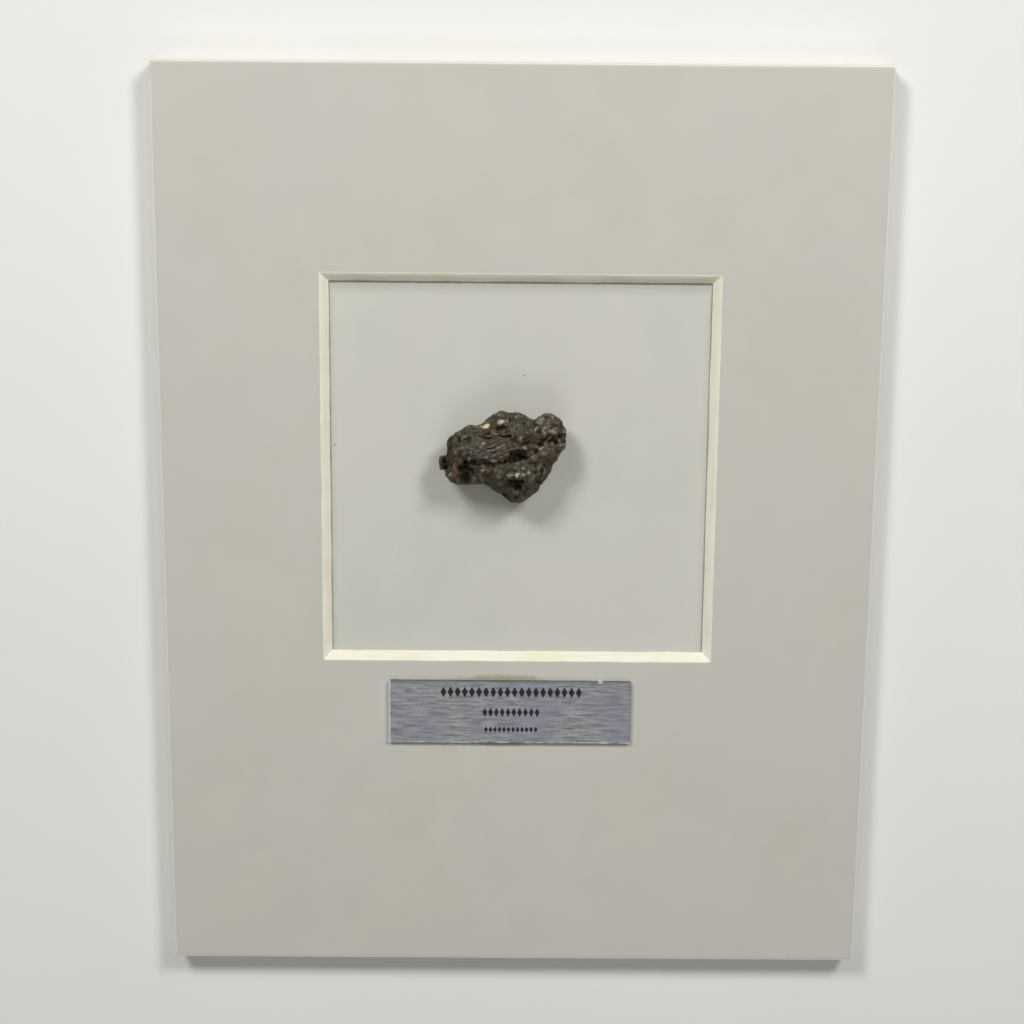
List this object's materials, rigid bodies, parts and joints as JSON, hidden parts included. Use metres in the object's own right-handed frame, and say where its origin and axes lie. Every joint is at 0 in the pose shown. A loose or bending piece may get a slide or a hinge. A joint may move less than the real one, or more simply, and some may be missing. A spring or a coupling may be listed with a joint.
{
  "type": "lunar meteorite in a mat mount",
  "caption": "Small dark ropy lunar meteorite fixed in the bevelled square window of a mat board on a backing board, with a blank label plate below it.",
  "frame": {"origin": "centre of the backing board's back face", "axes": "+Z out of the mat's face, +Y up the mount towards its top edge, +X to the right seen from the front"},
  "size_m": [0.108, 0.1396, 0.0118],
  "materials": {
    "backing_board": "matt",
    "mat_board": "matt",
    "label_plate": "brushed",
    "meteorite": "rough"
  },
  "bodies": {
    "root": {"backing_board": "backing_board", "mat_board": "mat_board", "label_plate": "label_plate", "meteorite": "meteorite"}
  },
  "joints": []
}
